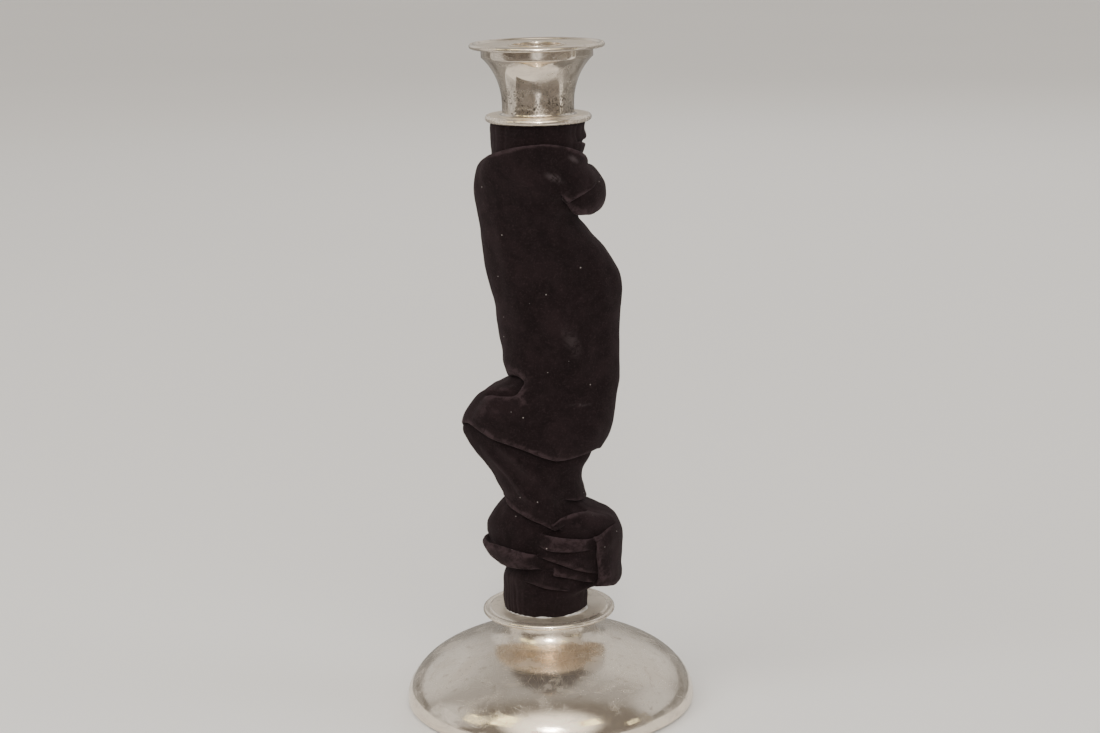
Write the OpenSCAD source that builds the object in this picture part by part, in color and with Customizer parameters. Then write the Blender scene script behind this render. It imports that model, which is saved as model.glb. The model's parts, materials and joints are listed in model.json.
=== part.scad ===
// Candlestick: a domed, weighted base, a stem dressed in a loose velvet sleeve, and a flared cup
// that holds a lift-out nozzle with a drip pan and a candle socket. One tie rod clamps the stack.
// Millimetres, +Z up. The origin is the centre of the foot, on the table.

/* [Overall] */
// Height from the table to the top of the drip pan
total_h = 306; // [290:1:330]
// Wall of the spun silver-plated shells
sheet_t = 1; // [0.8:0.1:1.2]

/* [Base] */
// Radius of the dome at its widest
base_r = 66.9; // [62:0.1:72]
// Height of the domed part above its widest circle
dome_h = 30.8; // [26:0.2:34]
// Radius of the neck that rises from the dome
neck_r = 20.8; // [18:0.2:22]
// Height of the shell's lower edge above the table
edge_z = 1; // [0.6:0.1:1.4]
// Thickness of the cast ballast disc
ballast_t = 7; // [5:0.5:8]
// Radius of the ballast disc
ballast_r = 60; // [56:0.5:60]

/* [Collar and ring] */
// Height of the top face of the lower collar above the table
collar_top = 46.3; // [45.5:0.1:52]
// Radius of the lower collar
collar_r = 30.5; // [28:0.1:34]
// Thickness of the lower collar
collar_t = 2.6; // [2:0.1:3]
// Radius of the ring under the cup
ring_r = 23.7; // [22:0.1:27]
// Thickness of the ring under the cup
ring_t = 3; // [2.4:0.1:3.6]

/* [Stem] */
// Outer radius of the stem tube
stem_r = 12.7; // [11:0.1:12.8]
// Outer radius of the plugs that the ends of the sleeve are glued to
plug_r = 16; // [14.5:0.1:16.5]
// Height of each plug's head
plug_h = 12; // [9:0.5:14]

/* [Cup and nozzle] */
// Outer radius of the cup's straight throat
throat_r = 16; // [15.6:0.1:17]
// Outer radius of the cup's upright lip
lip_r = 24.2; // [23.8:0.1:25]
// Height of the upright lip
lip_h = 3.3; // [2.8:0.1:4]
// Radius of the drip pan
pan_r = 30; // [28:0.1:34]
// Radius of the candle socket's bore
socket_bore_r = 11.1; // [10.5:0.1:11.4]
// Depth of the candle socket's bore
socket_depth = 20; // [18:0.5:20.5]

/* [Fasteners] */
// Radius of the threaded tie rod
rod_r = 3; // [2.5:0.5:3]
// Radial clearance of a hole that the rod passes through
rod_clear = 0.2; // [0.1:0.1:0.4]

/* [Hidden] */
$fn = 96;

// Arc step of the turned profiles, in degrees
step = 6;

// Colours
silver = [0.78, 0.74, 0.68];
steel = [0.62, 0.63, 0.65];
iron = [0.24, 0.24, 0.25];
beech = [0.72, 0.56, 0.38];
velvet = [0.07, 0.06, 0.07];
felt = [0.10, 0.16, 0.12];
card = [0.42, 0.36, 0.29];
glue = [0.82, 0.82, 0.78];

// Base: the dome is an elliptic arc, its foot a small turned-in bend
bend = 1.7;
widest_z = edge_z + bend;
dome_axis_r = 4.6;
dome_a = base_r - dome_axis_r;
join_r = 28;
join_a = acos((join_r - dome_axis_r) / dome_a);
// Angle below the horizontal of the dome's slope where the neck's cove meets it
join_fall = atan(dome_h * cos(join_a) / (dome_a * sin(join_a)));
cove_r = (join_r - neck_r) / (1 - sin(join_fall));
cove_z = widest_z + dome_h * sin(join_a) + cove_r * cos(join_fall);
neck_top = collar_top - collar_t;

// Foot: the felt stands proud of the shell's edge, and the cover lies on the felt
cover_t = 0.8;
felt_t = 2;
felt_r = base_r - bend - sheet_t - 0.7;
cover_r = felt_r + 0.4;

// The ballast's upper edge seats on the inside of the dome
seat_a = acos((ballast_r - dome_axis_r) / (dome_a - sheet_t));
ballast_top = widest_z + (dome_h - sheet_t) * sin(seat_a);
hub_r = 16;
hub_h = 4;
pocket_r = 11;
pocket_top = ballast_top - 1;

// Fasteners
washer_t = 1.2;
washer_r = 8;
lock_t = 1.4;
lock_r = 5.2;
nut_t = 5;
nut_flats = 10;
thread_past_nut = 1;
hole_r = rod_r + rod_clear;

// Levels up the stem
pan_edge_r = 1.1;
lip_top = total_h - 2 * pan_edge_r;
flare_a = 23.6;
flare_h = 27;
flare_z = lip_top - lip_h - 21.6;
cup_floor = lip_top - 29.2;
ring_bottom = cup_floor - ring_t;
sleeve_l = ring_bottom - collar_top;
tube_wall = 1;
spigot_h = 10;
fit_gap = 0.1;

// Nozzle
socket_wall = 0.9;
socket_floor_t = 1;
pan_t = 1.1;
skirt_h = 2.4;
skirt_gap = 0.3;

// Radius of the round foot of the sleeve, just inside the bead of glue
foot_r = 19.2;

// Sleeve outline: [share of the sleeve's length above the collar, reach to -X, +X, -Y and +Y].
// The velvet's girth hardly changes, so where it spreads sideways it is shallow front to back
sleeve_rows = [
    [0.000, foot_r, foot_r, foot_r, foot_r],
    [0.008, foot_r, foot_r, foot_r, foot_r],
    [0.018, 19.8, 18.6, 19.4, 19.2],
    [0.032, 20.2, 18.8, 19.6, 19.2],
    [0.045, 20.0, 31.8, 20.0, 19.0],
    [0.080, 20.2, 33.4, 21.0, 18.0],
    [0.100, 24.0, 33.9, 21.5, 17.5],
    [0.140, 28.4, 34.0, 21.5, 17.0],
    [0.175, 27.2, 33.2, 20.5, 17.0],
    [0.200, 24.6, 30.9, 19.5, 18.0],
    [0.230, 19.6, 20.0, 18.5, 20.0],
    [0.250, 20.4, 17.4, 18.5, 21.5],
    [0.290, 24.4, 16.6, 19.0, 22.0],
    [0.325, 30.0, 20.4, 21.0, 20.5],
    [0.350, 34.4, 26.4, 21.5, 19.0],
    [0.390, 37.4, 29.7, 20.0, 18.0],
    [0.425, 33.6, 31.2, 18.5, 17.5],
    [0.460, 25.0, 32.6, 17.5, 17.5],
    [0.488, 16.2, 33.2, 17.0, 18.5],
    [0.580, 19.4, 33.9, 16.5, 18.5],
    [0.665, 22.2, 35.1, 16.5, 17.5],
    [0.700, 24.0, 33.6, 17.0, 17.5],
    [0.750, 25.2, 27.0, 18.0, 19.0],
    [0.805, 26.6, 17.6, 20.0, 21.0],
    [0.820, 27.0, 22.0, 20.5, 21.0],
    [0.845, 28.1, 29.0, 21.0, 20.5],
    [0.900, 28.2, 26.0, 21.5, 19.5],
    [0.930, 23.0, 21.4, 21.0, 20.0],
    [0.950, 20.9, 19.8, 20.2, 20.0],
    [1.000, 20.4, 19.8, 20.0, 20.0],
];
sleeve_sides = 32;

// Points on an elliptic arc about [cx, cz], from angle a0 to a1, as [radius, height]
function arc(cx, cz, rx, rz, a0, a1) =
    let (n = ceil(abs(a1 - a0) / step))
    [for (i = [0:n]) let (a = a0 + (a1 - a0) * i / n) [cx + rx * cos(a), cz + rz * sin(a)]];

// Points in the opposite order
function reversed(list) = [for (i = [len(list) - 1:-1:0]) list[i]];

// The dome from the neck's top to the edge of the foot, drawn in by t for the inner face
function dome_line(t) = concat(
    [[neck_r - t, neck_top - (t > 0 ? sheet_t : 0)]],
    arc(neck_r + cove_r, cove_z, cove_r + t, cove_r + t, 180, 270 - join_fall),
    arc(dome_axis_r, widest_z, dome_a - t, dome_h - t, join_a - 2, 0),
    arc(base_r - bend, widest_z, bend - t, bend, -15, -90)
);

// The cup from its floor to the top of its lip, drawn in by t for the inner face
function cup_line(t) =
    let (top_a = asin((lip_top - lip_h - flare_z) / flare_h))
    concat(
        [[throat_r - t, cup_floor + (t > 0 ? sheet_t : 0)]],
        arc(throat_r + flare_a, flare_z, flare_a + t, flare_h + t * 0.6, 180, 180 - top_a + 2),
        [[lip_r - t, lip_top - lip_h + 0.6], [lip_r - t, lip_top]]
    );

module turned(points) {
    rotate_extrude()
        polygon(points);
}

module cylinder_between(r, z0, z1) {
    translate([0, 0, z0])
        cylinder(r = r, h = z1 - z0);
}

// A flat disc with a half-round edge and a hole for the rod
module edged_disc(r, t, hole) {
    difference() {
        union() {
            cylinder(r = r - t / 2, h = t);
            translate([0, 0, t / 2])
                rotate_extrude()
                    translate([r - t / 2, 0])
                        circle(r = t / 2, $fn = 32);
        }
        translate([0, 0, -1])
            cylinder(r = hole, h = t + 2);
    }
}

module washer(r, t) {
    difference() {
        cylinder(r = r, h = t);
        translate([0, 0, -1])
            cylinder(r = hole_r, h = t + 2);
    }
}

// A washer cut through on one side
module lock_washer() {
    cut = 0.8;
    difference() {
        washer(lock_r, lock_t);
        rotate([0, 0, 40])
            translate([0, -cut / 2, -1])
                cube([lock_r + 1, cut, lock_t + 2]);
    }
}

// A hexagon nut, chamfered on both faces
module nut() {
    corner_r = nut_flats / 2 / cos(30);
    chamfer = 0.6;
    difference() {
        intersection() {
            cylinder(r = corner_r, h = nut_t, $fn = 6);
            turned([
                [0, 0], [corner_r - chamfer * 1.6, 0], [corner_r, chamfer],
                [corner_r, nut_t - chamfer], [corner_r - chamfer * 1.6, nut_t], [0, nut_t],
            ]);
        }
        translate([0, 0, -1])
            cylinder(r = rod_r, h = nut_t + 2);
    }
}

// A turned wooden plug: a head that the sleeve is glued to and a spigot inside the tube
module plug() {
    difference() {
        union() {
            cylinder(r = plug_r, h = plug_h);
            cylinder(r = stem_r - tube_wall - fit_gap, h = plug_h + spigot_h);
        }
        translate([0, 0, -1])
            cylinder(r = hole_r, h = plug_h + spigot_h + 2);
    }
}

module felt_pad() {
    color(felt)
        cylinder(r = felt_r, h = felt_t);
}

module base_cover() {
    color(card)
        translate([0, 0, felt_t])
            cylinder(r = cover_r, h = cover_t);
}

module ballast_disc() {
    color(iron)
        difference() {
            union() {
                translate([0, 0, ballast_top - ballast_t])
                    cylinder(r = ballast_r, h = ballast_t);
                cylinder_between(hub_r, ballast_top - ballast_t, ballast_top + hub_h);
            }
            cylinder_between(pocket_r, 0, pocket_top);
            cylinder_between(hole_r, 0, ballast_top + hub_h + 1);
        }
}

module base_shell() {
    color(silver)
        turned(concat(
            dome_line(0),
            reversed(dome_line(sheet_t)),
            [[hole_r, neck_top - sheet_t], [hole_r, neck_top]]
        ));
}

module base_washer() {
    color(steel)
        translate([0, 0, pocket_top - washer_t])
            washer(washer_r, washer_t);
}

module base_lock_washer() {
    color(steel)
        translate([0, 0, pocket_top - washer_t - lock_t])
            lock_washer();
}

module base_nut() {
    color(steel)
        translate([0, 0, pocket_top - washer_t - lock_t - nut_t])
            nut();
}

module tie_rod() {
    bottom = pocket_top - washer_t - lock_t - nut_t - thread_past_nut;
    top = cup_floor + sheet_t + washer_t + lock_t + nut_t + thread_past_nut;
    chamfer = 0.5;
    color(steel)
        turned([
            [0, bottom], [rod_r - chamfer, bottom], [rod_r, bottom + chamfer],
            [rod_r, top - chamfer], [rod_r - chamfer, top], [0, top],
        ]);
}

module lower_collar() {
    color(silver)
        translate([0, 0, collar_top - collar_t])
            edged_disc(collar_r, collar_t, hole_r);
}

// A bead of glue round the foot of the sleeve
module sleeve_glue() {
    bead = 1.2;
    inner = foot_r + 0.05;
    color(glue)
        translate([0, 0, collar_top])
            turned(concat([[inner, 0]], arc(inner, 0, bead, bead, 0, 90)));
}

module lower_plug() {
    color(beech)
        translate([0, 0, collar_top])
            plug();
}

module stem_tube() {
    color(steel)
        translate([0, 0, collar_top + plug_h])
            difference() {
                cylinder(r = stem_r, h = sleeve_l - 2 * plug_h);
                translate([0, 0, -1])
                    cylinder(r = stem_r - tube_wall, h = sleeve_l);
            }
}

module upper_plug() {
    color(beech)
        translate([0, 0, ring_bottom])
            mirror([0, 0, 1])
                plug();
}

// One horizontal ring of the sleeve: four quarter ellipses between the row's four reaches
function sleeve_ring(row) =
    [for (i = [0:sleeve_sides - 1])
        let (a = 360 * i / sleeve_sides)
        [
            cos(a) * (cos(a) > 0 ? row[2] : row[1]),
            sin(a) * (sin(a) > 0 ? row[4] : row[3]),
            collar_top + row[0] * sleeve_l,
        ]
    ];

module sleeve_body() {
    n = sleeve_sides;
    last = len(sleeve_rows) - 1;
    points = [for (row = sleeve_rows) each sleeve_ring(row)];
    sides = [for (k = [0:last - 1], i = [0:n - 1], half = [0, 1])
        let (a = k * n + i, b = k * n + (i + 1) % n)
        half == 0 ? [a, a + n, b] : [b, a + n, b + n]
    ];
    bottom = [[for (i = [0:n - 1]) i]];
    top = [[for (i = [n - 1:-1:0]) last * n + i]];
    polyhedron(points = points, faces = concat(sides, bottom, top));
}

// The inside of the sleeve: twelve flat sides that just clear a round core of radius r
module sleeve_lining(r, z0, z1) {
    translate([0, 0, z0])
        cylinder(r = r / cos(15), h = z1 - z0, $fn = 12);
}

module velvet_sleeve() {
    color(velvet)
        difference() {
            sleeve_body();
            sleeve_lining(stem_r + fit_gap, collar_top - 1, ring_bottom + 1);
            sleeve_lining(plug_r + fit_gap, collar_top - 1, collar_top + plug_h + fit_gap);
            sleeve_lining(plug_r + fit_gap, ring_bottom - plug_h - fit_gap, ring_bottom + 1);
        }
}

module upper_ring() {
    color(silver)
        translate([0, 0, ring_bottom])
            edged_disc(ring_r, ring_t, hole_r);
}

module candle_cup() {
    color(silver)
        turned(concat(
            [[hole_r, cup_floor]],
            cup_line(0),
            reversed(cup_line(sheet_t)),
            [[hole_r, cup_floor + sheet_t]]
        ));
}

module cup_washer() {
    color(steel)
        translate([0, 0, cup_floor + sheet_t])
            washer(washer_r, washer_t);
}

module cup_lock_washer() {
    color(steel)
        translate([0, 0, cup_floor + sheet_t + washer_t])
            lock_washer();
}

module cup_nut() {
    color(steel)
        translate([0, 0, cup_floor + sheet_t + washer_t + lock_t])
            nut();
}

// A flat pan with a rolled edge, and a short skirt that centres it inside the cup's lip
module drip_pan() {
    skirt_r = lip_r - sheet_t - skirt_gap;
    socket_r = socket_bore_r + socket_wall;
    color(silver)
        union() {
            difference() {
                union() {
                    cylinder_between(pan_r - pan_edge_r, lip_top, lip_top + pan_t);
                    cylinder_between(skirt_r, lip_top - skirt_h, lip_top + pan_t);
                }
                cylinder_between(skirt_r - sheet_t, lip_top - skirt_h - 1, lip_top);
                cylinder_between(socket_r, lip_top - 1, total_h);
            }
            translate([0, 0, lip_top + pan_edge_r])
                rotate_extrude()
                    translate([pan_r - pan_edge_r, 0])
                        circle(r = pan_edge_r, $fn = 32);
        }
}

// A drawn cup for the candle, closed at the bottom, with a collar that lies on the pan
module candle_socket() {
    outer_r = socket_bore_r + socket_wall;
    top = lip_top + pan_t + 0.5;
    bore_bottom = top - socket_depth;
    color(silver)
        difference() {
            union() {
                cylinder_between(outer_r, bore_bottom - socket_floor_t, top);
                cylinder_between(outer_r + 0.8, lip_top + pan_t, top);
            }
            cylinder_between(socket_bore_r, bore_bottom, top + 1);
        }
}

felt_pad();
base_cover();
ballast_disc();
base_shell();
base_nut();
base_lock_washer();
base_washer();
tie_rod();
lower_collar();
sleeve_glue();
lower_plug();
stem_tube();
upper_plug();
velvet_sleeve();
upper_ring();
candle_cup();
cup_washer();
cup_lock_washer();
cup_nut();
drip_pan();
candle_socket();
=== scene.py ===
"""The looks of a silver-plated candlestick whose stem wears a gathered black velvet sleeve."""

import json
import math

import bpy
import numpy as np
from mathutils import Matrix, Vector, noise


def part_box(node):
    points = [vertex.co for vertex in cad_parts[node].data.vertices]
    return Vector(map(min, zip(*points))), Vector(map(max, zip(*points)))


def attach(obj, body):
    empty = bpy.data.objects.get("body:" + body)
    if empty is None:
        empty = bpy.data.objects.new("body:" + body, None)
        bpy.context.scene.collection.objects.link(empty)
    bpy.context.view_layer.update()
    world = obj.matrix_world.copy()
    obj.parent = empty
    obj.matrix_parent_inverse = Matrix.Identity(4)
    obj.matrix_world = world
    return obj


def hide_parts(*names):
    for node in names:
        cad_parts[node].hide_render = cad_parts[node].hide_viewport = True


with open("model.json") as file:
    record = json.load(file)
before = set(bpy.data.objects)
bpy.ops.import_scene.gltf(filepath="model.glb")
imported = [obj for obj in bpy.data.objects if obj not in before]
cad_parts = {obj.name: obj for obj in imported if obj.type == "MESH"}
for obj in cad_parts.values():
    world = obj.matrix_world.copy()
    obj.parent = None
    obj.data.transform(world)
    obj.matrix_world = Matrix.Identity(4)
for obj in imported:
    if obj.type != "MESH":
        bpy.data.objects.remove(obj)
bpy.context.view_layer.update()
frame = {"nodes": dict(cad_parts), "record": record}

MM = 0.001
ROUND = 288  # segments round a turned piece
WOBBLE_SIZE = 17  # size of the waves in a turned surface, in millimetres

# -------- dimensions, in millimetres


def top_of(node):
    """Height of a CAD node's highest point."""
    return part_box(node)[1].z / MM


def bottom_of(node):
    """Height of a CAD node's lowest point."""
    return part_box(node)[0].z / MM


def radius_of(node):
    """Radius of a round CAD node."""
    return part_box(node)[1].x / MM


# Heights and radii come from the frame. The rest repeat the CAD's own, or are small roundings.
SHEET = 1.0  # thickness of the silver-plated sheet
ROD_HOLE = 3.2  # radius of the hole for the tie rod

BASE_R = radius_of("base_shell")
EDGE_Z = bottom_of("base_shell")
NECK_TOP = top_of("base_shell")
NECK_R = 20.8
DOME_H = 30.8
DOME_AXIS_R = 4.6  # how far the dome's elliptic arc is centred from the axis
BEND = 1.7  # radius of the turned-in foot
JOIN_R = 28.0  # radius at which the dome runs into the cove under the neck

COLLAR_TOP = top_of("lower_collar")
COLLAR_T = COLLAR_TOP - bottom_of("lower_collar")
COLLAR_R = radius_of("lower_collar")
GROOVE_DEPTH = 0.5  # the CAD leaves the groove out
RING_BOTTOM = bottom_of("upper_ring")
RING_TOP = top_of("upper_ring")
RING_R = radius_of("upper_ring")

CUP_FLOOR = bottom_of("candle_cup")
LIP_TOP = top_of("candle_cup")
LIP_R = radius_of("candle_cup")
LIP_H = 3.3
THROAT_R = 16.0
SOLDER = 1.2  # radius of the solder fillet round the cup's foot
FLARE_A = 23.6  # half-axes of the flare's elliptic arc
FLARE_H = 27.0
FLARE_Z = LIP_TOP - LIP_H - 21.6  # height at which the flare starts

PAN_R = radius_of("drip_pan")
PAN_TOP = top_of("drip_pan")
PAN_EDGE = 1.1  # radius of the pan's rolled edge
PAN_T = 1.1
SKIRT_H = 2.4  # depth of the skirt inside the cup's lip
SKIRT_GAP = 0.3
SOCKET_TOP = top_of("candle_socket")
SOCKET_BOTTOM = bottom_of("candle_socket")
SOCKET_BORE = 11.1
SOCKET_WALL = 0.9
SOCKET_FLOOR = 1.0
SOCKET_ROUND = 1.0  # radius of the socket's bottom corners
FLANGE_R = SOCKET_BORE + SOCKET_WALL + 0.8
FLANGE_ROUND = 0.25
MOUTH_ROUND = 0.35  # radius of the edge of the socket's mouth
AXIS_GAP = 0.05  # how near an outline comes to the axis

# -------- mesh helpers


def arc(cx, cz, r, start, end, step=2.0, rz=None):
    """Points on a round arc in the (radius, height) plane, or on an elliptic one where rz gives the
    half-axis upwards. The angles are in degrees."""
    count = max(2, math.ceil(abs(end - start) / step))
    angles = np.radians(np.linspace(start, end, count + 1))
    return [(cx + r * math.cos(a), cz + (rz or r) * math.sin(a)) for a in angles]


def line(start, end, pieces):
    """Evenly spaced points from start to end."""
    return [
        (start[0] + (end[0] - start[0]) * i / pieces, start[1] + (end[1] - start[1]) * i / pieces)
        for i in range(pieces + 1)
    ]


def new_object(name, data):
    """An object that holds the data, linked into the scene."""
    thing = bpy.data.objects.new(name, data)
    bpy.context.scene.collection.objects.link(thing)
    return thing


def grid_mesh(name, points, closed_rows=False):
    """A mesh of quads from an array of points [row, column, xyz] in metres, closed round each row."""
    rows, cols, _ = points.shape
    last = rows if closed_rows else rows - 1
    r, c = np.meshgrid(np.arange(last), np.arange(cols), indexing="ij")
    r2, c2 = (r + 1) % rows, (c + 1) % cols
    faces = np.stack([r * cols + c, r * cols + c2, r2 * cols + c2, r2 * cols + c], axis=-1)
    mesh = bpy.data.meshes.new(name)
    mesh.from_pydata(points.reshape(-1, 3).tolist(), [], faces.reshape(-1, 4).tolist())
    mesh.polygons.foreach_set("use_smooth", [True] * len(mesh.polygons))
    mesh.update()
    return new_object(name, mesh)


def turned(name, outline, wobble, seed):
    """A turned piece from a closed outline of (radius, height), run anticlockwise in millimetres.
    wobble is how far its surface wanders from true, as hand-finished metal does."""
    outline = np.array(outline)
    angle = np.linspace(0, 2 * np.pi, ROUND, endpoint=False)
    radius = np.repeat(outline[:, :1], ROUND, axis=1)
    height = np.repeat(outline[:, 1:], ROUND, axis=1)
    for i, (r, z) in enumerate(outline):
        for j, a in enumerate(angle):
            at = Vector((r * math.cos(a), r * math.sin(a), z)) / WOBBLE_SIZE + Vector((seed, 0, 0))
            radius[i, j] += wobble * noise.noise(at)
    points = np.stack([radius * np.cos(angle), radius * np.sin(angle), height], axis=-1) * MM
    return grid_mesh(name, points[::-1], closed_rows=True)


def dress(piece, body, material, node):
    """Gives a piece its material and the body that it rides on, and hides the CAD node that it stands for.
    """
    piece.data.materials.append(material)
    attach(piece, body)
    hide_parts(node)


# -------- material helpers


class Nodes:
    """A material or a world under construction, with short calls for the nodes that it is made of."""

    def __init__(self, owner, shader="Principled BSDF", place="Object"):
        owner.use_nodes = True
        self.owner = owner
        self.tree = owner.node_tree
        self.shader = self.tree.nodes[shader]
        self.place = self.add("TexCoord", place, {})

    def put(self, socket, value):
        """Links an output to the socket, or sets the socket to a value."""
        if hasattr(value, "is_output"):
            self.tree.links.new(value, socket)
        else:
            socket.default_value = value

    def add(self, kind, output, inputs, **settings):
        """Adds a node with its settings and inputs, and gives one of its outputs."""
        node = self.tree.nodes.new("ShaderNode" + kind)
        for name, value in settings.items():
            setattr(node, name, value)
        for socket, value in inputs.items():
            self.put(node.inputs[socket], value)
        return node.outputs[output]

    def mapped(self, scale=(1, 1, 1), location=(0, 0, 0), rotation=(0, 0, 0), kind="POINT"):
        """The place, scaled, turned by degrees and moved."""
        turn = [math.radians(a) for a in rotation]
        inputs = {"Vector": self.place, "Location": location, "Rotation": turn, "Scale": scale}
        return self.add("Mapping", "Vector", inputs, vector_type=kind)

    def noise(self, scale, detail=3.0, rough=0.5, distortion=0.0, vector=None):
        inputs = {"Vector": vector or self.place, "Scale": scale, "Detail": detail}
        inputs |= {"Roughness": rough, "Distortion": distortion}
        return self.add("TexNoise", "Fac", inputs)

    def cells(self, scale, feature="F1", vector=None):
        """The distance to the nearest of some scattered points, or to the edge between two."""
        inputs = {"Vector": vector or self.place, "Scale": scale}
        return self.add("TexVoronoi", "Distance", inputs, feature=feature)

    def ramp(self, value, low, high, to_low=0.0, to_high=1.0):
        """value taken from low..high to to_low..to_high, with soft ends."""
        inputs = {"Value": value, "From Min": low, "From Max": high}
        inputs |= {"To Min": to_low, "To Max": to_high}
        return self.add("MapRange", "Result", inputs, interpolation_type="SMOOTHSTEP")

    def math(self, operation, a, b=0.0):
        """a and b put together by an operation, with sums and products kept within 0..1."""
        clamp = operation in ("ADD", "MULTIPLY")
        return self.add("Math", "Value", {0: a, 1: b}, operation=operation, use_clamp=clamp)

    def mix(self, share, a, b, kind="MIX", clamp=True):
        """Colour a turning into colour b."""
        a, b = ((*colour, 1) if isinstance(colour, tuple) else colour for colour in (a, b))
        inputs = {"Factor": share, "A": a, "B": b}
        return self.add("Mix", "Result", inputs, data_type="RGBA", blend_type=kind, clamp_factor=clamp)

    def spot(self, at, size, turn):
        """1 at a point given in millimetres, falling to 0 at the edge of an ellipsoid of that size."""
        vector = self.mapped([s * MM for s in size], [a * MM for a in at], turn, "TEXTURE")
        return self.add("TexGradient", "Fac", {"Vector": vector}, gradient_type="SPHERICAL")

    def bump(self, height, strength, distance_mm):
        """Adds a relief to the ones that the material already has."""
        inputs = {"Strength": strength, "Distance": distance_mm * MM, "Height": height}
        earlier = self.shader.inputs["Normal"].links
        if earlier:
            inputs["Normal"] = earlier[0].from_socket
        self.put(self.shader.inputs["Normal"], self.add("Bump", "Normal", inputs))

    def along(self, axis, vector=None):
        """The X, Y or Z of a vector, or of the place in metres."""
        return self.add("SeparateXYZ", axis, {"Vector": vector or self.place})

    def facing_up(self):
        """1 where the surface lies flat and faces up, 0 where it stands up or hangs over."""
        return self.ramp(self.along("Z", self.add("TexCoord", "Normal", {})), 0.95, 0.995)

    def set(self, **values):
        """Fills in inputs of the shader, and gives the material or world."""
        for name, value in values.items():
            self.put(self.shader.inputs[name.replace("_", " ")], value)
        return self.owner


def new_look(name):
    return Nodes(bpy.data.materials.new(name))


# -------- worn silver

CLEAN_SILVER = (0.80, 0.715, 0.61)
WARM_SILVER = (0.65, 0.57, 0.475)
MILKY_SILVER = (0.60, 0.53, 0.455)
BROWN_TARNISH = (0.27, 0.205, 0.14)
PIT = (0.05, 0.042, 0.035)


def silver(
    name, shift, polish, haze, tarnish, film, dull=None, pits=None, smudges=(), marks=(), lines=0.0
):
    """Worn silver plate. shift moves its patterns. polish is how rough it is where it is clean, and
    haze how much rougher the milky smudges are. tarnish is how brown it has gone, and film how much of
    the shine the smudges hide. dull adds roughness and pits is a mask for dark pitting, and either is
    None or a function. smudges and marks are single milky and dark places. lines is how deep the
    turning lines are."""
    m = new_look(name)
    moved = m.mapped(location=(shift, shift * 0.7, shift * 0.3))
    cloud = m.noise(38, 6, 0.62, 0.6, moved)
    fine = m.noise(260, 4, 0.6, 0.3, moved)
    smear = m.noise(48, 5, 0.6, 1.4, m.mapped((1, 1, 3.0), (shift, 0, 0), (20, 35, 0)))
    wipe = m.noise(90, 4, 0.5, 0.8, m.mapped((0.45, 1.6, 1.6), (0, shift, 0), (0, 0, 35)))
    brown = m.math("MULTIPLY", m.ramp(cloud, 0.38, 0.78), tarnish)
    freckle = m.math("MULTIPLY", m.ramp(fine, 0.56, 0.75), tarnish * 0.7)
    milky = m.math("MULTIPLY", m.ramp(smear, 0.42, 0.66), m.ramp(wipe, 0.34, 0.62, 0.35, 1))
    streaky = m.ramp(wipe, 0.30, 0.60, 0.25, 1)
    for at, size, turn in smudges:
        smudge = m.math("MULTIPLY", m.ramp(m.spot(at, size, turn), 0.0, 0.7), streaky)
        milky = m.math("MAXIMUM", milky, smudge)
    colour = m.mix(brown, CLEAN_SILVER, WARM_SILVER)
    colour = m.mix(m.math("MULTIPLY", milky, min(1.0, haze * 3)), colour, MILKY_SILVER)
    colour = m.mix(freckle, colour, BROWN_TARNISH)
    rough = m.ramp(milky, 0, 1, polish, polish + haze)
    rough = m.math("ADD", rough, m.ramp(fine, 0.45, 0.8, 0, haze * 0.4))
    if dull:
        rough = m.math("ADD", rough, dull(m))
    specks = m.ramp(m.cells(520, vector=moved), 0.16, 0.05)
    sparse = m.ramp(m.noise(70, 2, 0.5, 0, moved), 0.58, 0.66)
    dirt = m.math("MULTIPLY", specks, sparse)
    if pits:
        pitted = m.math("MULTIPLY", m.ramp(m.noise(1150, 3, 0.7), 0.47, 0.58), pits(m))
        dirt = m.math("MAXIMUM", dirt, pitted)
    for at, size, turn in marks:
        dirt = m.math("MAXIMUM", dirt, m.ramp(m.spot(at, size, turn), 0.1, 0.7, 0, 0.75))
    colour = m.mix(dirt, colour, PIT)
    rough = m.math("ADD", rough, m.math("MULTIPLY", dirt, 0.35))
    scratch = m.cells(75, "DISTANCE_TO_EDGE", m.mapped((1, 1, 3.5), (shift, 0, 0), (35, 50, 20)))
    other = m.cells(110, "DISTANCE_TO_EDGE", m.mapped((3.2, 1, 1), (0, shift, 0), (70, 15, 40)))
    hairline = m.math("ADD", m.ramp(scratch, 0.012, 0.0), m.ramp(other, 0.010, 0.0))
    rough = m.math("ADD", rough, m.math("MULTIPLY", hairline, 0.12))
    m.bump(hairline, 0.12, -0.02)
    m.bump(m.noise(90, 2, 0.5, 0, moved), 0.10, 0.10)
    if lines:
        m.bump(m.noise(8, 2, 0.5, 0, m.mapped((4, 4, 260))), lines, 0.01)
    m.bump(dirt, 0.3, -0.03)
    metal = m.ramp(milky, 0, 1, 1 - 0.35 * film, 1 - film)
    return m.set(Base_Color=colour, Roughness=rough, Metallic=metal)


# -------- turned silver pieces


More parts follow.
